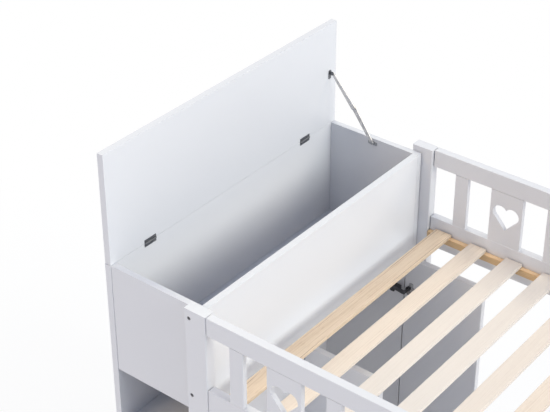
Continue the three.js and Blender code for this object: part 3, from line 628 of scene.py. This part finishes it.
# screws, each turned to face away from what it holds and left at its own angle
def makeScrewTree():
    tree, given, out = newGroup("screwHeads", "GeometryNodeTree", [
        ("Geometry", "NodeSocketGeometry", None),
        ("Screw", "NodeSocketObject", None),
        ("Size", "NodeSocketFloat", 1.0),
        ("Seed", "NodeSocketInt", 3),
        ("Material", "NodeSocketMaterial", None),
    ], [("Geometry", "NodeSocketGeometry")])
    facing = addNode(tree, "GeometryNodeInputNamedAttribute", {"Name": "facing"}, data_type="FLOAT_VECTOR")
    turn = addNode(tree, "FunctionNodeAlignRotationToVector", {"Vector": facing.outputs[0]}, axis="Z")
    screw = addNode(tree, "GeometryNodeObjectInfo", {"Object": given.outputs["Screw"]})
    placed = addNode(tree, "GeometryNodeInstanceOnPoints", {
        "Points": given.outputs["Geometry"], "Instance": screw.outputs["Geometry"],
        "Rotation": turn.outputs[0], "Scale": given.outputs["Size"]})
    # sockets 2 and 3 are the ends of the range, which is a whole turn
    spin = addNode(tree, "FunctionNodeRandomValue", {2: 0.0, 3: 6.28, "Seed": given.outputs["Seed"]},
                   data_type="FLOAT")
    spinAxis = addNode(tree, "ShaderNodeCombineXYZ", {"Z": spin.outputs[1]})
    spun = addNode(tree, "GeometryNodeRotateInstances", {"Instances": placed.outputs[0],
                                                         "Rotation": spinAxis.outputs[0],
                                                         "Local Space": True})
    solid = addNode(tree, "GeometryNodeRealizeInstances", {"Geometry": spun.outputs[0]})
    painted = addNode(tree, "GeometryNodeSetMaterial", {"Geometry": solid.outputs[0],
                                                        "Material": given.outputs["Material"]})
    giveOut(tree, out, {"Geometry": painted.outputs[0]})
    return tree


rowTree = makeRowTree()
screwTree = makeScrewTree()


def grownMesh(base, tree, values, origin=(0, 0, 0)):
    # runs a geometry nodes tree on a mesh and returns its result as a plain mesh
    holder = placeObject("holder", base)
    grown = holder.modifiers.new("grown", "NODES")
    grown.node_group = tree
    for label, value in values.items():
        grown[tree.interface.items_tree[label].identifier] = value
    mesh = evaluatedMesh(holder)
    holder.modifiers.remove(grown)
    bpy.data.objects.remove(holder)
    mesh.transform(Matrix.Translation(origin))
    return mesh


def rowOf(name, pattern, count, origin, step, material, body, seed=1, slide=(0, 0, 0), replaced=()):
    mesh = grownMesh(bpy.data.meshes.new("start"), rowTree, {
        "Board": pattern, "Count": count, "Step": step, "Slide": slide, "Seed": seed,
        "Material": material}, origin)
    return addPiece(name, mesh, material, body, replaced)


# guard rails: two rails and between them pickets and boards with a heart cut through
guardSettings = {
    "topRailHeight": 0.05, "lowerRailHeight": 0.095, "railTop": 1.16, "lowerRailTop": 0.951,
    "longEdge": 0.002, "endEdge": 0.0018, "endGap": 0.0016,
    "picketWidth": 0.04, "picketThickness": 0.014, "picketRecess": 0.0008, "picketEdge": 0.002,
    "picketEndEdge": 0.0003, "tenon": 0.006, "tenonShoulder": 0.005, "shadowGap": 0.0008,
    "heartBoardWidth": 0.096, "heartLobeRadius": 0.022, "heartLobeOffset": 0.0177, "heartHeight": 0.074,
    "heartDrop": 0.041, "heartEdge": 0.0014, "heartEdgeSteps": 2, "entryClearance": 0.0003,
}


def heartOutline(steps=20):
    # two lobes and straight flanks to a point, lobe tops at zero
    use = guardSettings
    radius, side, height = use["heartLobeRadius"], use["heartLobeOffset"], use["heartHeight"]
    toTip = math.hypot(side, height - radius)
    flank = math.atan2(radius - height, -side) + math.acos(radius / toTip)
    notch = math.acos(side / radius)
    right = [(side + radius * math.cos(a), -radius + radius * math.sin(a))
             for a in (flank + (math.pi - notch - flank) * i / steps for i in range(steps + 1))]
    left = [(-x, z) for x, z in reversed(right[:-1])]
    return [(0.0, -height)] + right + left


def heartBoardMesh():
    # a flat curve with a heart-shaped hole, given its thickness and eased edges
    use = guardSettings
    bottom = use["lowerRailTop"] - use["tenon"] - use["railTop"] + use["topRailHeight"]
    halfWidth = use["heartBoardWidth"] / 2
    # the eased edge grows the outline again
    side = halfWidth - use["heartEdge"]
    top = -use["shadowGap"] - use["heartEdge"]
    board = [(-side, bottom), (side, bottom), (side, top), (-side, top)]
    hole = [(x, z - use["heartDrop"]) for x, z in heartOutline()]
    curve = bpy.data.curves.new("heartBoard", "CURVE")
    curve.dimensions = "2D"
    curve.fill_mode = "BOTH"
    for points in (board, hole):
        spline = curve.splines.new("POLY")
        spline.points.add(len(points) - 1)
        for point, (x, z) in zip(spline.points, points):
            point.co = (x, z, 0.0, 1.0)
        spline.use_cyclic_u = True
    curve.bevel_depth = use["heartEdge"]
    curve.bevel_resolution = use["heartEdgeSteps"]
    curve.extrude = use["picketThickness"] / 2 - use["heartEdge"]
    holder = placeObject("holder", curve)
    flat = evaluatedMesh(holder)
    bpy.data.objects.remove(holder)
    shape = bmesh.new()
    shape.from_mesh(flat)
    bmesh.ops.remove_doubles(shape, verts=shape.verts, dist=weldReach)
    bmesh.ops.recalc_face_normals(shape, faces=shape.faces)
    bmesh.ops.transform(shape, verts=shape.verts, matrix=Matrix.Rotation(math.radians(90), 4, "X"))
    addTenon(shape, halfWidth, use["picketThickness"] / 2)
    return settledMesh(shape)


def addTenon(shape, halfWidth, halfThick, alongAxis=0):
    # the tongue that holds an upright in the top rail, across the fine gap above its shoulder
    use = guardSettings
    reach = [halfWidth - use["tenonShoulder"], halfThick - use["tenonShoulder"] / 2]
    if alongAxis:
        reach.reverse()
    centre = Matrix.Translation((0, 0, use["tenon"] / 2 - use["shadowGap"]))
    extent = Matrix.Diagonal((2 * reach[0], 2 * reach[1], use["tenon"], 1.0))
    bmesh.ops.create_cube(shape, size=1.0, matrix=centre @ extent)


def makeGuard(name, pattern, alongAxis, lowerSpan, topSpan, across):
    use = guardSettings
    node = name + "_guard_rail"
    acrossAxis = 1 - alongAxis

    def corners(along, thick, height):
        low, high = [0.0] * 3, [0.0] * 3
        for axis, span in ((alongAxis, along), (acrossAxis, thick), (2, height)):
            low[axis], high[axis] = span
        return low, high

    lowerZ = (use["lowerRailTop"] - use["lowerRailHeight"], use["lowerRailTop"])
    topZ = (use["railTop"] - use["topRailHeight"], use["railTop"])
    for label, span, height in (("Lower", lowerSpan, lowerZ), ("Top", topSpan, topZ)):
        low, high = corners((span[0] + use["endGap"], span[1] - use["endGap"]), across, height)
        mesh = barMesh(low, high, alongAxis, use["longEdge"], use["endEdge"])
        addPiece(name + label + "Rail", mesh, paintedPine, "bed_frame", (node,))

    thick = (across[0] + use["picketRecess"], across[0] + use["picketRecess"] + use["picketThickness"])
    upright = (use["lowerRailTop"] - use["tenon"] - topZ[0], -use["shadowGap"])
    widths = [use["heartBoardWidth"] if letter == "H" else use["picketWidth"] for letter in pattern]
    gap = (topSpan[1] - topSpan[0] - sum(widths)) / (len(widths) + 1)
    middles, at = [], topSpan[0] + gap
    for width in widths:
        middles.append(at + width / 2)
        at += width + gap
    halfWidth, halfThick = use["picketWidth"] / 2, use["picketThickness"] / 2
    low, high = corners((-halfWidth, halfWidth), (-halfThick, halfThick), upright)
    shape = barShape(low, high, 2, use["picketEdge"], use["picketEndEdge"])
    addTenon(shape, halfWidth, halfThick, alongAxis)
    picket = placeObject("pattern", settledMesh(shape))
    heartMesh = heartBoardMesh()
    if alongAxis == 1:
        heartMesh.transform(Matrix.Rotation(math.radians(90), 4, "Z"))
    heart = placeObject("pattern", heartMesh)
    # the pattern repeats picket, heart; where two pickets meet, a second run starts
    restart = pattern.find("PP") + 1
    runs = [(0, len(pattern))] if restart == 0 else [(0, restart), (restart, len(pattern))]
    step = [0.0, 0.0, 0.0]
    step[alongAxis] = use["picketWidth"] + use["heartBoardWidth"] + 2 * gap
    for letter, board, label in (("P", picket, "Pickets"), ("H", heart, "HeartBoards")):
        for number, (first, last) in enumerate(runs):
            own = [i for i in range(first, last) if pattern[i] == letter]
            origin = [0.0, 0.0, topZ[0]]
            origin[alongAxis] = middles[own[0]]
            origin[acrossAxis] = (thick[0] + thick[1]) / 2
            rowOf(f"{name}{label}{number + 1}", board, len(own), origin, step, paintedPine, "bed_frame",
                  replaced=(node,))
    bpy.data.objects.remove(picket)
    bpy.data.objects.remove(heart)


def spanOf(node, axis):
    low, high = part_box(node)
    return (low[axis], high[axis])


nearSpan = spanOf("near_guard_rail", 0)
farSpan = spanOf("far_guard_rail", 0)
footSpan = spanOf("foot_guard_rail", 1)
entryStart = spanOf("entry_post", 0)[0] - guardSettings["entryClearance"]
makeGuard("near", "PHPHPHPHPHP", 0, nearSpan, (nearSpan[0], entryStart), spanOf("near_guard_rail", 1))
makeGuard("far", "PHPHPHPPHPHPHP", 0, farSpan, farSpan, spanOf("far_guard_rail", 1))
makeGuard("foot", "PHPHPHP", 1, footSpan, footSpan, spanOf("foot_guard_rail", 0))
print("stage: guard rails")

# slats across the ledgers, joined by a tape under each end
slatSettings = {
    "count": 18, "pitch": 0.11, "width": 0.05, "thickness": 0.01, "longEdge": 0.0014, "endEdge": 0.0007,
    "edgeSteps": 3, "slide": 0.0012, "seed": 208,
    "tapeWidth": 0.01, "tapeThickness": 0.001, "tapeFromSlatEnd": 0.0005, "tapeFromFirstSlat": 0.004,
    "tapeEdge": 0.0004, "tapeSteps": 2,
}
ledgerSettings = {"longEdge": 0.0012, "endEdge": 0.004, "edgeSteps": 3}


def makeSlats():
    use = slatSettings
    low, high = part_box("slat_base")
    top = high[2]
    halfWidth, reach = use["width"] / 2, (high[1] - low[1]) / 2
    slatMesh = barMesh((-halfWidth, -reach, -use["thickness"]), (halfWidth, reach, 0.0), 1,
                       use["longEdge"], use["endEdge"], use["edgeSteps"])
    slat = placeObject("pattern", slatMesh)
    rowOf("slats", slat, use["count"], (low[0] + halfWidth, 0.0, top), (use["pitch"], 0.0, 0.0), slatPine,
          "bed_frame", use["seed"], (0.0, use["slide"], 0.0), ("slat_base",))
    bpy.data.objects.remove(slat)
    under = top - use["thickness"]
    fromX, toX = low[0] + use["tapeFromFirstSlat"], high[0] - use["tapeFromFirstSlat"]
    for label, side in (("near", -1), ("far", 1)):
        middle = side * (reach - use["tapeFromSlatEnd"] - use["tapeWidth"] / 2)
        mesh = barMesh((fromX, middle - use["tapeWidth"] / 2, under - use["tapeThickness"]),
                       (toX, middle + use["tapeWidth"] / 2, under), 0, use["tapeEdge"], use["tapeEdge"],
                       use["tapeSteps"])
        addPiece(label + "SlatTape", mesh, tapeWeave, "bed_frame", ("slat_base",))


def makeLedgers():
    use = ledgerSettings
    for node in ("near_ledger", "far_ledger"):
        mesh = barMesh(*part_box(node), 0, use["longEdge"], use["endEdge"], use["edgeSteps"])
        addPiece(node + "Strip", mesh, ledgerPine, "bed_frame", (node,))


makeSlats()
makeLedgers()
print("stage: slats and ledgers")

# turned knobs, from a fuller profile than the CAD one
knobSettings = {
    "radius": 0.014, "length": 0.024, "sides": 48,
    # shares of the radius and of the length, from the foot to the face
    "profile": [(0.0, 0.0), (0.62, 0.0), (0.58, 0.1), (0.46, 0.26), (0.44, 0.4), (0.58, 0.54), (0.9, 0.62),
                (1.0, 0.74), (0.94, 0.88), (0.62, 0.98), (0.3, 1.0), (0.0, 1.0)],
}


def makeKnob(node):
    use = knobSettings
    low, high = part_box(node)
    profile = [(r * use["radius"], z * use["length"]) for r, z in use["profile"]]
    mesh = turnedMesh(node, profile, use["sides"])
    mesh.shade_smooth()
    # the knob grows from the door's outer face
    doorSide = -1 if node.startswith("near") else 1
    mesh.transform(Matrix.Rotation(math.radians(-90 * doorSide), 4, "X"))
    foot = low[1] if doorSide > 0 else high[1]
    mesh.transform(Matrix.Translation(((low[0] + high[0]) / 2, foot, (low[2] + high[2]) / 2)))
    addPiece(node + "Turned", mesh, metals["nickel"], bodyOfNode[node], (node,))


for node in ("near_door_knob", "far_door_knob"):
    makeKnob(node)
print("stage: knobs")

# screws: countersunk cross heads, set by the plates that they hold
screwSettings = {
    "headRadius": 0.0032, "crown": 0.0006, "sides": 16,
    # shares of the radius and of the crown's height, and the sunk part under them in metres
    "profile": [(0.0, 1.0), (0.45, 0.92), (0.8, 0.6), (1.0, 0.0)], "sunkShare": 0.96, "sunkDepth": 0.0008,
    # the cross: shares of the radius and of the width that a blade takes
    "recess": 0.0011, "recessDepth": 0.0011, "bladeLength": 1.15, "bladeWidth": 0.45,
}


def screwMesh():
    use = screwSettings
    profile = [(r * use["headRadius"], z * use["crown"]) for r, z in use["profile"]]
    profile += [(use["sunkShare"] * use["headRadius"], -use["sunkDepth"]), (0.0, -use["sunkDepth"])]
    holder = placeObject("holder", turnedMesh("screwHead", profile, use["sides"]))
    blade = Matrix.Diagonal((use["headRadius"] * use["bladeLength"], use["recess"] * use["bladeWidth"],
                             use["recessDepth"], 1.0))
    spot = Matrix.Translation((0, 0, use["crown"]))
    cutters = []
    for turn in (0, 90):
        cross = bmesh.new()
        bmesh.ops.create_cube(cross, size=1.0)
        bmesh.ops.transform(cross, verts=cross.verts,
                            matrix=Matrix.Rotation(math.radians(turn), 4, "Z") @ spot @ blade)
        cutter = placeObject("cutter", meshOf(cross, "cross"))
        cutters.append(cutter)
        cutting = holder.modifiers.new("cross", "BOOLEAN")
        cutting.operation = "DIFFERENCE"
        cutting.object = cutter
    mesh = evaluatedMesh(holder)
    for extra in cutters + [holder]:
        bpy.data.objects.remove(extra)
    return mesh


def setScrews(name, spots, body, screw, material, size, seed):
    # spots: place and facing of each screw
    base = bpy.data.meshes.new("spots")
    base.from_pydata([place for place, facing in spots], [], [])
    facings = base.attributes.new("facing", "FLOAT_VECTOR", "POINT")
    for index, (place, facing) in enumerate(spots):
        facings.data[index].vector = facing
    mesh = grownMesh(base, screwTree, {"Screw": screw, "Size": size, "Seed": seed, "Material": material})
    addPiece(name, mesh, material, body)


def alongSpan(low, high, inset, count=2):
    return [low + inset + i * (high - low - 2 * inset) / (count - 1) for i in range(count)]


# where the screws sit on their plates: insets from a plate's ends, and thicknesses of the plates
screwPlaces = {
    "buttLeaf": 0.0012, "buttInset": 0.008, "buttFromEdge": 0.0042,
    "stayPlate": 0.0014, "stayLidFromLow": (0.0038, 0.0092), "stayPanelInset": 0.004,
    "stayPanelHeight": 0.005,
    "hingePlate": 0.0022, "hingePlateFromBack": 0.012, "hingeInset": 0.006,
    "socketRing": 0.0159, "ledgerInset": 0.06, "ledgerScrews": 7,
}


def buttHingeSpots(side, leaf):
    use = screwPlaces
    low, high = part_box(f"{side}_lid_hinge_{leaf}_leaf")
    height = high[2] - use["buttFromEdge"] if leaf == "upper" else low[2] + use["buttFromEdge"]
    return [((low[0] + use["buttLeaf"], y, height), (1, 0, 0))
            for y in alongSpan(low[1], high[1], use["buttInset"])]


def staySpots():
    use = screwPlaces
    low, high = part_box("stay_lid_bracket")
    middle = (low[1] + high[1]) / 2
    onLid = [((low[0] + use["stayPlate"], middle, low[2] + rise), (1, 0, 0))
             for rise in use["stayLidFromLow"]]
    low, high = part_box("stay_panel_bracket")
    place = (high[1] - use["stayPlate"], low[2] + use["stayPanelHeight"])
    onPanel = [((x, *place), (0, -1, 0)) for x in alongSpan(low[0], high[0], use["stayPanelInset"])]
    return onLid, onPanel


def doorHingeSpots(side, inward):
    use = screwPlaces
    onCarcass, onDoor = [], []
    for number in (1, 2):
        low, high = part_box(f"{side}_door_hinge_arm_{number}")
        plate = low[1] + use["hingePlate"] if inward > 0 else high[1] - use["hingePlate"]
        for height in alongSpan(low[2], high[2], use["hingeInset"]):
            onCarcass.append(((low[0] + use["hingePlateFromBack"], plate, height), (0, inward, 0)))
        low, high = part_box(f"{side}_door_hinge_cup_{number}")
        flange = high[1] if inward > 0 else low[1]
        for height in alongSpan(low[2], high[2], use["hingeInset"]):
            onDoor.append((((low[0] + high[0]) / 2, flange, height), (0, inward, 0)))
    return onCarcass, onDoor


def socketAndLedgerSpots(side, inward):
    use = screwPlaces
    low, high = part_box(f"{side}_clothes_rail_socket")
    rim = high[1] if inward > 0 else low[1]
    middle = ((low[0] + high[0]) / 2, (low[2] + high[2]) / 2)
    spots = [((middle[0], rim, middle[1] + turn * use["socketRing"]), (0, inward, 0)) for turn in (-1, 1)]
    low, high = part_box(f"{side}_ledger")
    face = high[1] if inward > 0 else low[1]
    along = alongSpan(low[0], high[0], use["ledgerInset"], use["ledgerScrews"])
    return spots, [((x, face, (low[2] + high[2]) / 2), (0, inward, 0)) for x in along]


# body, metal, size and seed of each set of screws
screwSets = {
    "nearDoorScrews": ("near_door_body", "zincScrew", 1.0, 7),
    "farDoorScrews": ("far_door_body", "zincScrew", 1.0, 7),
    "lidHingeScrews": ("lid", "hingeSteel", 0.8, 5),
    "panelHingeScrews": ("bed_frame", "hingeSteel", 0.8, 3),
    "stayLidScrews": ("lid", "hingeSteel", 0.65, 4),
    "stayPanelScrews": ("bed_frame", "bracketSteel", 0.65, 6),
    "frameScrews": ("bed_frame", "zincScrew", 1.0, 3),
    "socketScrews": ("bed_frame", "zincScrew", 0.75, 9),
}


def makeScrews():
    screw = placeObject("pattern", screwMesh())
    spots = {name: [] for name in screwSets}
    spots["stayLidScrews"], spots["stayPanelScrews"] = staySpots()
    for side, inward in (("near", 1), ("far", -1)):
        spots["lidHingeScrews"] += buttHingeSpots(side, "upper")
        spots["panelHingeScrews"] += buttHingeSpots(side, "lower")
        onCarcass, spots[side + "DoorScrews"] = doorHingeSpots(side, inward)
        onSocket, onLedger = socketAndLedgerSpots(side, inward)
        spots["frameScrews"] += onCarcass + onLedger
        spots["socketScrews"] += onSocket
    for name, (body, metal, size, seed) in screwSets.items():
        setScrews(name, spots[name], body, screw, metals[metal], size, seed)
    bpy.data.objects.remove(screw)


makeScrews()
print("stage: screws")


# floor, backdrop and light
def seenDirectly(tree):
    # 1 for what the camera sees directly, mirrored or through glass, 0 for light that falls on things
    path = addNode(tree, "ShaderNodeLightPath").outputs
    bounced = maths(tree, "MAXIMUM", path["Is Glossy Ray"], path["Is Transmission Ray"])
    return maths(tree, "MAXIMUM", path["Is Camera Ray"], bounced)


def makeFloor():
    use = studioSettings
    half = use["floorSize"] / 2
    mesh = bpy.data.meshes.new("floor")
    mesh.from_pydata([(-half, -half, 0), (half, -half, 0), (half, half, 0), (-half, half, 0)], [],
                     [(0, 1, 2, 3)])
    floor = placeObject("floor", mesh)
    material = bpy.data.materials.new("paleFloor")
    material.use_nodes = True
    tree = material.node_tree
    surface = tree.nodes["Principled BSDF"]
    surface.inputs["Base Color"].default_value = use["floorColour"]
    surface.inputs["Roughness"].default_value = use["floorRoughness"]
    surface.inputs["Specular IOR Level"].default_value = use["floorSpecular"]
    # the floor turns plain white for the camera with distance, and keeps the shadow near the bed
    place = addNode(tree, "ShaderNodeTexCoord").outputs["Object"]
    reach = addNode(tree, "ShaderNodeVectorMath", {0: place}, operation="LENGTH").outputs["Value"]
    far = remap(tree, reach, use["whiteFrom"], use["whiteFull"], use["whiteNear"], 1.0)
    white = addNode(tree, "ShaderNodeEmission", {"Color": (1, 1, 1, 1), "Strength": 1.0})
    share = product(tree, far, seenDirectly(tree))
    mix = addNode(tree, "ShaderNodeMixShader", {0: share, 1: surface.outputs[0], 2: white.outputs[0]})
    tree.links.new(mix.outputs[0], tree.nodes["Material Output"].inputs["Surface"])
    mesh.materials.append(material)


def makeWorld():
    world = bpy.data.worlds.new("studio")
    bpy.context.scene.world = world
    world.use_nodes = True
    tree = world.node_tree
    glow = tree.nodes["Background"]
    glow.inputs["Color"].default_value = studioSettings["worldColour"]
    glow.inputs["Strength"].default_value = studioSettings["worldStrength"]
    plain = addNode(tree, "ShaderNodeBackground", {"Color": (1, 1, 1, 1), "Strength": 1.0})
    mix = addNode(tree, "ShaderNodeMixShader", {0: seenDirectly(tree), 1: glow.outputs[0],
                                                2: plain.outputs[0]})
    tree.links.new(mix.outputs[0], tree.nodes["World Output"].inputs["Surface"])


def makeSuns():
    for name, direction, colour, strength in studioSettings["suns"]:
        data = bpy.data.lights.new(name, "SUN")
        data.angle = math.radians(studioSettings["sunWidthDeg"])
        data.color = colour
        data.energy = strength
        lamp = placeObject(name, data)
        lamp.location = direction
        lamp.rotation_euler = Vector(direction).to_track_quat("Z", "Y").to_euler()


makeFloor()
makeWorld()
makeSuns()
print("stage: studio")
